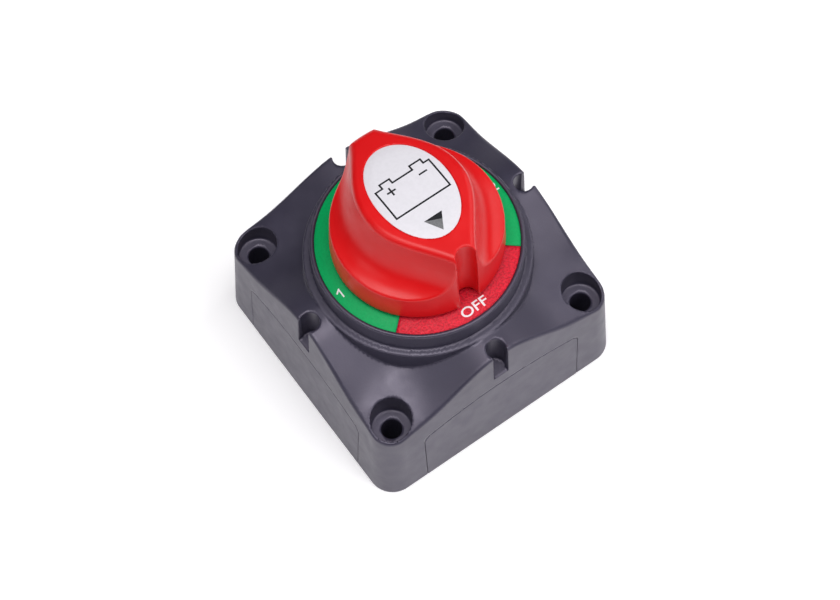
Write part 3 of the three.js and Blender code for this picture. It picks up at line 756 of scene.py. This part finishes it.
PRINT_Z = LABEL_SEAT_Z + 0.05    # underside of the printed ring
PRINT_THICK = 0.3
PRINT_INNER = 12.0
PRINT_OUTER = LABEL_R - 0.12
SECTOR_TURN = 1.25               # the print is turned a little on the dial
SECTOR_HALF = 48.75
SECTOR_GAP = 0.25                # degrees left open beside a sector's edge
MARK_Z = LABEL_SEAT_Z + 0.38     # top of the printed characters
MARK_THICK = 0.05
CAP_SHARE = 0.72                 # height of a capital as a share of the font's size
LETTER_WIDEN = 1.17
LETTER_BOLD = 0.04
LETTER_HALF = 0.02               # half the thickness of a letter
STROKE_WIDTH = 0.36              # of the figure 1
LINE_WIDTH = 0.42                # of the battery sign


def sheet_disc(name, inner, outer, height, thickness, segments=144, start=0.0, sweep=360.0):
    """A flat film between two radii, round a sweep in degrees, with a soft upper edge."""
    closed = sweep == 360.0
    count = segments if closed else segments + 1
    angles = np.radians(start + sweep * np.arange(count) / segments)
    soft = 0.06                  # width of the slanted upper edge
    shape = [(inner, 0), (inner, thickness - soft), (inner + soft, thickness),
             (outer - soft, thickness), (outer, thickness - soft), (outer, 0)]
    points = [(r * math.cos(a), r * math.sin(a), height + h) for a in angles for r, h in shape]
    wide = len(shape)
    faces = []
    for i in range(segments):
        a, b = i * wide, ((i + 1) % count) * wide
        faces += [(a + k, a + (k + 1) % wide, b + (k + 1) % wide, b + k) for k in range(wide)]
    if not closed:
        faces += [tuple(range(wide))[::-1], tuple(range(len(points) - wide, len(points)))]
    return make(name, points, [face[::-1] for face in faces])


def dial_print():
    """The printed ring: a red sector, the green rest, and a dark backing that shows between them."""
    middle, half = -90 + SECTOR_TURN, SECTOR_HALF + SECTOR_GAP
    red_half = SECTOR_HALF - SECTOR_GAP
    red = sheet_disc("dial_print_red", PRINT_INNER, PRINT_OUTER, PRINT_Z, PRINT_THICK, 60,
                     middle - red_half, 2 * red_half)
    place(red, "housing_body", RED_PRINT, "dial_print", "dial_label")
    green = sheet_disc("dial_print_green", PRINT_INNER, PRINT_OUTER, PRINT_Z, PRINT_THICK, 150,
                       middle + half, 360 - 2 * half)
    place(green, "housing_body", GREEN_PRINT, "dial_print")
    backing = sheet_disc("dial_print_backing", PRINT_INNER - 0.1, PRINT_OUTER + 0.04, PRINT_Z - 0.04, 0.2)
    place(backing, "housing_body", BLACK_PRINT, "dial_print")


def lettering(name, words, x, y, cap_height, turn=0.0):
    """Printed characters on the dial, turned by some degrees."""
    curve = bpy.data.curves.new(name, "FONT")
    curve.body = words
    curve.align_x = "CENTER"
    curve.align_y = "CENTER"
    curve.size = cap_height / CAP_SHARE * MM
    curve.offset = LETTER_BOLD * MM
    curve.resolution_u = 8
    curve.extrude = LETTER_HALF * MM
    obj = bpy.data.objects.new(name, curve)
    bpy.context.scene.collection.objects.link(obj)
    bpy.context.view_layer.update()
    mesh = bpy.data.meshes.new_from_object(obj.evaluated_get(bpy.context.evaluated_depsgraph_get()))
    bpy.data.objects.remove(obj)
    turned = Matrix.Rotation(math.radians(turn), 4, "Z") @ Matrix.Diagonal((LETTER_WIDEN, 1, 1, 1))
    mesh.transform(Matrix.Translation(Vector((x, y, MARK_Z - LETTER_HALF)) * MM) @ turned)
    piece = bpy.data.objects.new(name, mesh)
    bpy.context.scene.collection.objects.link(piece)
    return place(piece, "housing_body", WHITE_PRINT, "dial_print")


def mark_one():
    """The figure 1, which stands across the dial."""
    top, foot, flag = (-22.0, 0.35), (-22.0, -1.75), (-22.85, -0.35)
    strokes = [(foot, top), (flag, top)]
    bars("mark_1", strokes, STROKE_WIDTH, lambda y: MARK_Z, WHITE_PRINT, "housing_body", "dial_print")


def dial_marks():
    lettering("mark_off", "OFF", x=0.5, y=-21.6, cap_height=2.5, turn=1.3)
    mark_one()
    lettering("mark_2", "2", x=22.3, y=0.6, cap_height=2.5)
    lettering("mark_1_and_2", "1+2", x=0.0, y=22.0, cap_height=2.3)


def flat_shaded(obj):
    """The same object with sharp edges between its faces."""
    obj.data.polygons.foreach_set("use_smooth", [False] * len(obj.data.polygons))
    return obj


def bars(name, lines, width, level, material, body, slot):
    """Printed bars with square ends along pairs of points, at the height that level gives for a y.

    Every second bar lies a trace higher, so that crossing bars don't share a face.
    """
    trace = 0.002
    points, faces = [], []
    for i, (a, b) in enumerate(lines):
        a, b = np.array(a, float), np.array(b, float)
        along = (b - a) / np.linalg.norm(b - a)
        side = np.array([-along[1], along[0]]) * width / 2
        start, end = a - along * width / 2, b + along * width / 2
        shares = np.linspace(0, 1, 2 + int(np.linalg.norm(end - start)))
        base, last = len(points), len(shares) - 1
        for share in shares:
            middle = start + (end - start) * share
            left, right = middle - side, middle + side
            for corner, drop in ((left, MARK_THICK), (right, MARK_THICK), (right, 0), (left, 0)):
                points.append((*corner, float(level(corner[1])) - drop + trace * (i % 2)))
        for k in range(last):
            row = base + 4 * k
            faces += [(row + m, row + (m + 1) % 4, row + 4 + (m + 1) % 4, row + 4 + m) for m in range(4)]
        faces += [(base + 3, base + 2, base + 1, base), tuple(base + 4 * last + m for m in range(4))]
    piece = flat_shaded(make(name, points, [face[::-1] for face in faces]))
    return place(piece, body, material, slot)


def flat_patch(name, outline, level, material):
    """A thin printed patch on the knob's oval."""
    count = len(outline)
    points = [(x, y, float(level(y)) - drop) for drop in (MARK_THICK, 0) for x, y in outline]
    faces = [tuple(range(count))[::-1], tuple(range(count, 2 * count))]
    faces += [(i, (i + 1) % count, (i + 1) % count + count, i + count) for i in range(count)]
    return place(flat_shaded(make(name, points, faces)), "rotor", material, "decal")


def oval():
    """The white oval, which follows the knob's top; its rings go inward from its lower edge."""
    rings = [(1.0, 0.02), (1.0, 0.16), (0.992, 0.2), (0.75, 0.2), (0.5, 0.2), (0.25, 0.2)]
    sides = 120
    points = []
    for share, height in rings:
        for i in range(sides):
            a = 2 * math.pi * i / sides
            x = (DECAL_A - DECAL_GAP) * share * math.cos(a)
            y = (DECAL_B - DECAL_GAP) * share * math.sin(a) + DECAL_Y
            points.append((x, y, float(knob_top(y)) - DECAL_RECESS + height))
    faces = []
    for k in range(len(rings) - 1):
        for i in range(sides):
            j = (i + 1) % sides
            faces.append((k * sides + i, k * sides + j, (k + 1) * sides + j, (k + 1) * sides + i))
    faces.append(tuple(range((len(rings) - 1) * sides, len(rings) * sides)))
    faces.append(tuple(range(sides))[::-1])
    place(make("knob_oval", points, faces), "rotor", DECAL_WHITE, "decal", "knob_label")


def decal_level(y):
    """Height of the print on the oval."""
    return knob_top(y) - DECAL_RECESS + 0.225


def battery_sign():
    """A battery's case with two raised terminals, a plus and a minus."""
    left, right, low, high, raised = -7.1, 7.5, -2.6, 5.6, 6.85
    case = [(left, low), (right, low), (right, high),
            (6.0, high), (6.0, raised), (3.0, raised), (3.0, high),
            (-2.5, high), (-2.5, raised), (-5.2, raised), (-5.2, high), (left, high)]
    lines = {"battery_outline": list(zip(case, case[1:] + case[:1])),
             "battery_plus": [((-4.95, 3.8), (-3.05, 3.8)), ((-4.0, 2.85), (-4.0, 4.75))],
             "battery_minus": [((3.6, 3.6), (5.4, 3.6))]}
    for name, pairs in lines.items():
        bars(name, pairs, LINE_WIDTH, decal_level, BLACK_PRINT, "rotor", "decal")


def pointer():
    """The triangle that points at the setting, in two tones like a folded shape."""
    centre, tip, base, half, fold = -0.2, -10.8, -6.7, 2.4, 0.41
    dark = [(centre, tip), (centre + half, base), (centre - half, base)]
    crease = (centre + half * (1 - fold), base + (tip - base) * fold)
    grey = [(centre, tip), crease, (centre - half, base)]
    flat_patch("pointer_dark", dark, decal_level, BLACK_PRINT)
    flat_patch("pointer_grey", grey, lambda y: decal_level(y) + 0.004, GREY_PRINT)


# ------------------------------------------------------------------ terminals, seen from below


def thread(x, y, z, r, depth):
    """Roughly the distance outside a screw thread on the axis, whose grooves are depth deep."""
    turn = (z / THREAD_PITCH - np.arctan2(y, x) / (2 * np.pi)) % 1
    groove = np.clip(1.25 - np.abs(2 * turn - 1) * 1.6, 0, 1)
    return (np.hypot(x, y) - r + depth * groove) * 0.75


def stud_field(x, y, z, end, head):
    """A threaded stud from its lower end up to its flange, which stands on the plate."""
    radius = np.hypot(x, y)
    neck = PLATE_TOP + STUD_FLANGE_LIFT
    shank = thread(x, y, z, STUD_R, THREAD_DEPTH)
    shank = np.where(z > THREAD_TOP, radius - STUD_R + STUD_NECK, shank)
    shank = meet(shank, (radius - STUD_R + STUD_CHAMFER - (z - end)) / math.sqrt(2), FINE_EDGE)
    shank = np.maximum(shank, slab(z, end, neck + 0.5))
    flange = meet(radius - STUD_FLANGE_R, slab(z, neck, head), 0.3)
    return join(shank, flange, FINE_EDGE)


def nut_field(x, y, z, low, turn):
    """A hexagon nut with rounded-off corners; turn is in degrees."""
    radius = np.hypot(x, y)
    flats = np.full_like(radius, -99.0)
    for angle in np.radians([turn, turn + 60, turn + 120]):
        flats = np.maximum(flats, np.abs(x * np.cos(angle) + y * np.sin(angle)) - NUT_FLATS / 2)
    middle = low + NUT_THICK / 2
    inset = np.abs(z - middle) - NUT_THICK / 2
    body = meet(flats, inset, 0.15)
    body = meet(body, (radius - NUT_CHAMFER_R + NUT_CHAMFER * inset) / 2, 0.15)
    bore = thread(x, y, z, STUD_R + NUT_BORE, NUT_THREAD_DEPTH)
    countersink = (radius - STUD_R - NUT_BORE - NUT_COUNTERSINK - inset) / math.sqrt(2)
    return cut(body, np.minimum(bore, countersink), 0.08)


def washer_field(x, y, z, low, high, outer):
    """A ring round the stud between two heights."""
    body = meet(np.hypot(x, y) - outer, slab(z, low, high), 0.22)
    return cut(body, np.hypot(x, y) - STUD_R - WASHER_ROOM, 0.15)


def split_field(x, y, z, low, high, outer):
    """A split spring washer; the slit lies across +X on a slant."""
    ring = washer_field(x, y, z, low, high, outer)
    slit = np.maximum(np.abs(y - (z - low) * SPLIT_LEAN + 0.4) - SPLIT_HALF, -x)
    return cut(ring, slit, 0.15)


def turned_about(points, normals, centre, degrees):
    """Points and normals turned about +Z, then moved out to a centre."""
    turn = np.array(Matrix.Rotation(math.radians(degrees), 3, "Z"))
    return points @ turn.T + np.array([centre[0], centre[1], 0]), normals @ turn.T


def grid_over(low, high, size):
    """The three axes of a grid over a box."""
    return [steps(a, b, size) for a, b in zip(low, high)]


def fitting(name, field, node, material, slot, size, degrees=0.0):
    """A piece skinned about its own axis and set down at the CAD node's centre."""
    low, high = span(node)
    centre = (low + high) / 2
    reach = max(high[0] - low[0], high[1] - low[1]) / 2
    grid = grid_over((-reach, -reach, low[2]), (reach, reach, high[2]), size)
    points, faces, normals = skin(field, *grid)
    points, normals = turned_about(points, normals, centre, degrees)
    place(make(name, points, faces, normals), "housing_body", material, slot, node)


def terminal(which):
    """A stud with its flat washer, split washer and nut."""
    low, high = span(f"stud_{which}")
    outward = math.degrees(math.atan2(*(low + high)[1::-1]))
    fitting(f"terminal_stud_{which}", lambda x, y, z: stud_field(x, y, z, low[2], high[2]),
            f"stud_{which}", TINNED, "tinned_copper", 0.3)
    nut_low, nut_high = span(f"nut_{which}")
    wide, deep, _ = nut_high - nut_low
    turn = 0 if wide < deep else 90
    fitting(f"terminal_nut_{which}", lambda x, y, z: nut_field(x, y, z, nut_low[2], turn),
            f"nut_{which}", STEEL, "steel", 0.35)
    flat_low, flat_high = span(f"flat_washer_{which}")
    fitting(f"washer_{which}", lambda x, y, z: washer_field(x, y, z, flat_low[2], flat_high[2], WASHER_R),
            f"flat_washer_{which}", STEEL, "steel", 0.35)
    ring_low, ring_high = span(f"spring_washer_{which}")
    fitting(f"split_washer_{which}",
            lambda x, y, z: split_field(x, y, z, ring_low[2], ring_high[2], SPLIT_R),
            f"spring_washer_{which}", STEEL, "steel", 0.35, outward)


def screw_field(x, y, z):
    """A small pan-head screw with a cross recess, head downward."""
    low, high = span("plate_screw_1")
    radius = np.hypot(x, y)
    head = meet(radius - CAP_R, slab(z, low[2], PLATE_Z - CAP_LIFT), CAP_EDGE)
    cross = np.minimum(np.abs(x), np.abs(y)) - CROSS_HALF
    cross = np.maximum(cross, np.maximum(radius - CROSS_R, z - low[2] - CROSS_DEEP))
    shank = np.maximum(radius - SHANK_R, slab(z, PLATE_Z - OVERLAP, high[2]))
    return join(cut(head, cross, FINE_EDGE), shank, FINE_EDGE / 2)


def barriers(x, y, z, radius):
    """Three upright walls that keep the cable lugs apart, from a round core."""
    shape = np.maximum(radius - BARRIER_CORE_R, slab(z, BARRIER_Z, PLATE_Z + OVERLAP))
    for angle in map(math.radians, BARRIERS):
        along = x * math.cos(angle) + y * math.sin(angle)
        aside = y * math.cos(angle) - x * math.sin(angle)
        wall = meet(np.abs(aside) - BARRIER_HALF, BARRIER_Z - z, PLATE_EDGE)
        wall = np.maximum(wall, np.maximum(slab(along, 0, BARRIER_REACH), z - PLATE_Z - OVERLAP))
        shape = join(shape, wall, PLATE_EDGE)
    return shape


def plate_field(x, y, z):
    """The insulating plate with its terminal pads and barriers."""
    radius = np.hypot(x, y)
    body = meet(radius - PLATE_R, slab(z, PLATE_Z, PLATE_TOP), PLATE_EDGE)
    body = join(body, np.maximum(radius - HUB_R, slab(z, PLATE_TOP - OVERLAP, HUB_TOP)), PLATE_FINE)
    body = join(body, barriers(x, y, z, radius), 0.5)
    for which in TERMINALS:
        cx, cy, _ = sum(span(f"stud_{which}")) / 2
        away = np.hypot(x - cx, y - cy)
        pad = meet(away - PAD_R, slab(z, PAD_Z, PLATE_Z + OVERLAP), PLATE_FINE)
        body = cut(join(body, pad, PLATE_EDGE), away - STUD_R - STUD_ROOM, PLATE_FINE)
    for sx, sy, _ in SCREWS:
        body = cut(body, np.hypot(x - sx, y - sy) - SCREW_HOLE_R, 0.15)
    return body


def base_plate():
    """The terminal plate and its three screws, whose crosses lie at different angles."""
    low, high = span("terminal_plate")
    points, faces, normals = skin(plate_field, *grid_over(low, high, 0.45))
    plate = make("insulating_plate", points, faces, normals)
    place(plate, "housing_body", BLACK, "insulator", "terminal_plate")
    for i, degrees in ((1, 20), (2, 65), (3, -15)):
        fitting(f"small_screw_{i}", screw_field, f"plate_screw_{i}", STEEL, "steel", 0.22, degrees)


# ------------------------------------------------------------------ springs, and the CAD nodes that stay

SPRING_R = 2.0                   # contact springs: to the middle of the wire
SPRING_WIRE = 0.4                # the wire's radius
SPRING_TURNS = 4
SPRING_END_PITCH = 0.92          # the first and last turns lie almost closed
CLEAR = 0.05                     # between a spring and the plate


def coil(x, y, low, high):
    """Points and faces of a coil spring between two heights."""
    count, around = 160, 12
    turns = np.linspace(0, SPRING_TURNS, count)
    turn = 2 * np.pi * turns[:, None]
    side = 2 * np.pi * np.arange(around)[None, :] / around
    rise = high - low - 2 * SPRING_WIRE
    levels = [0, SPRING_END_PITCH, rise - SPRING_END_PITCH, rise]
    height = np.interp(turns, [0, 1, SPRING_TURNS - 1, SPRING_TURNS], levels)
    out = SPRING_R + SPRING_WIRE * np.cos(side)
    up = low + SPRING_WIRE + height[:, None] + SPRING_WIRE * np.sin(side)
    points = np.stack([x + out * np.cos(turn), y + out * np.sin(turn), up], axis=-1).reshape(-1, 3)
    faces = []
    for k in range(count - 1):
        for m in range(around):
            a, b = k * around + m, k * around + (m + 1) % around
            faces.append((a + around, b + around, b, a))
    faces += [tuple(range(around)), tuple(range((count - 1) * around, count * around))[::-1]]
    return points, faces


def contact_springs():
    """Coil springs that press the contact plate down. The real ones shorten as it lifts; these keep one
    length.
    """
    low = span("moving_contact")[1][2] + CLEAR
    for i in (1, 2, 3):
        start, end = span(f"contact_spring_{i}")
        x, y = (start[:2] + end[:2]) / 2
        points, faces = coil(x, y, low, end[2])
        spring = make(f"contact_coil_{i}", points, faces)
        place(spring, "rotor", STEEL, "steel", f"contact_spring_{i}")
        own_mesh(spring)


CAD_FINISH = [
    (STEEL, ["drive_shaft", "knob_screw", "detent_spring_left", "detent_spring_right",
             "detent_plunger_left", "detent_plunger_right"]),
    (COPPER, ["common_contact", "moving_contact"]),
    (NYLON, ["thrust_washer", "contact_carrier"]),
    (RUBBER, ["chamber_gasket", "shaft_seal"]),
]


def finish_cad_nodes():
    """Gives the nodes that keep their CAD shape their materials."""
    for material, nodes in CAD_FINISH:
        for node in nodes:
            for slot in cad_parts[node].material_slots:
                slot.material = material


# ------------------------------------------------------------------ stage, light and camera


FLOOR_HALF = 2500
# inset of the black sheet of painted shade under the base
SHADE_MAT_INSET = 3


def level_square(name, half, z, material):
    """A square of the stage, with its middle on the axis."""
    corners = [(-half, -half, z), (half, -half, z), (half, half, z), (-half, half, z)]
    square = make(name, corners, [(0, 1, 2, 3)])
    square.data.materials.append(material)


def stage():
    """A pale floor that glows a little, with a black sheet of painted shade under the open base that keeps
    the holes dark, and a faint white world.
    """
    s = Shader("floor_white", 0.9, specular=0.1)
    s.colour(s.ramp(s.noise(size_mm=300), [(0.3, 0.92), (0.7, 0.94)]))
    s.bsdf.inputs["Emission Color"].default_value = (0.99, 0.95, 1, 1)
    s.bsdf.inputs["Emission Strength"].default_value = 0.28
    level_square("floor", FLOOR_HALF, -0.02, s.material)
    # painted shade: a black sheet under the open base keeps the floor's glow out of the holes, so that they
    # look dark
    level_square("painted_shade_mat", HALF - SHADE_MAT_INSET, -0.01, BLACK)
    world = bpy.data.worlds.new("studio")
    world.use_nodes = True
    sky = world.node_tree.nodes["Background"].inputs
    sky["Color"].default_value = (1, 1, 1, 1)
    sky["Strength"].default_value = 0.02
    bpy.context.scene.world = world


LIGHTS = {                       # place and side in mm, power in watts
    "overhead": ((-120, -40, 780), 380, 3.2),
    "overhead_right": ((180, -100, 760), 400, 1.2),
    "front": ((200, -570, 590), 400, 2.1),
    "right": ((650, 0, 500), 400, 1.2),
    "left": ((-640, 40, 500), 400, 0.7),
    "back": ((100, 600, 600), 400, 0.1),
}


def softboxes():
    """Square lights, all turned towards the middle of the switch."""
    aim = Vector((0, 0, 30)) * MM
    for name, (spot, side, power) in LIGHTS.items():
        light = bpy.data.lights.new(name, "AREA")
        light.shape = "SQUARE"
        light.size = side * MM
        light.energy = power
        obj = bpy.data.objects.new(name, light)
        obj.location = Vector(spot) * MM
        obj.rotation_mode = "QUATERNION"
        obj.rotation_quaternion = (aim - obj.location).to_track_quat("-Z", "Y")
        bpy.context.scene.collection.objects.link(obj)


def camera():
    """A long lens well above the front and to the left of it, turned a little about its own axis."""
    azimuth, elevation, roll = math.radians(-34.075), math.radians(65.368), math.radians(1.802)
    distance, shift = 612.084, Vector((-0.020, -4.447))
    back = Vector((math.sin(azimuth) * math.cos(elevation), -math.cos(azimuth) * math.cos(elevation),
                   math.sin(elevation)))
    right = Vector((math.cos(azimuth), math.sin(azimuth), 0))
    up = back.cross(right)
    right, up = (right * math.cos(roll) - up * math.sin(roll), right * math.sin(roll) + up * math.cos(roll))
    data = bpy.data.cameras.new("camera")
    data.sensor_width = 36.0
    data.lens = 106.16
    data.clip_start, data.clip_end = 0.01, 20
    obj = bpy.data.objects.new("camera", data)
    spot = back * distance - right * shift.x - up * shift.y
    turn = Matrix((right, up, back)).transposed().to_4x4()
    obj.matrix_world = Matrix.Translation(spot * MM) @ turn
    bpy.context.scene.collection.objects.link(obj)
    bpy.context.scene.camera = obj


camera()
stage()
softboxes()
bpy.context.scene.view_settings.view_transform = "Standard"

housing()
side_panels()
knob()
dial_print()
dial_marks()
oval()
battery_sign()
pointer()
for which in TERMINALS:
    terminal(which)
base_plate()
contact_springs()
finish_cad_nodes()
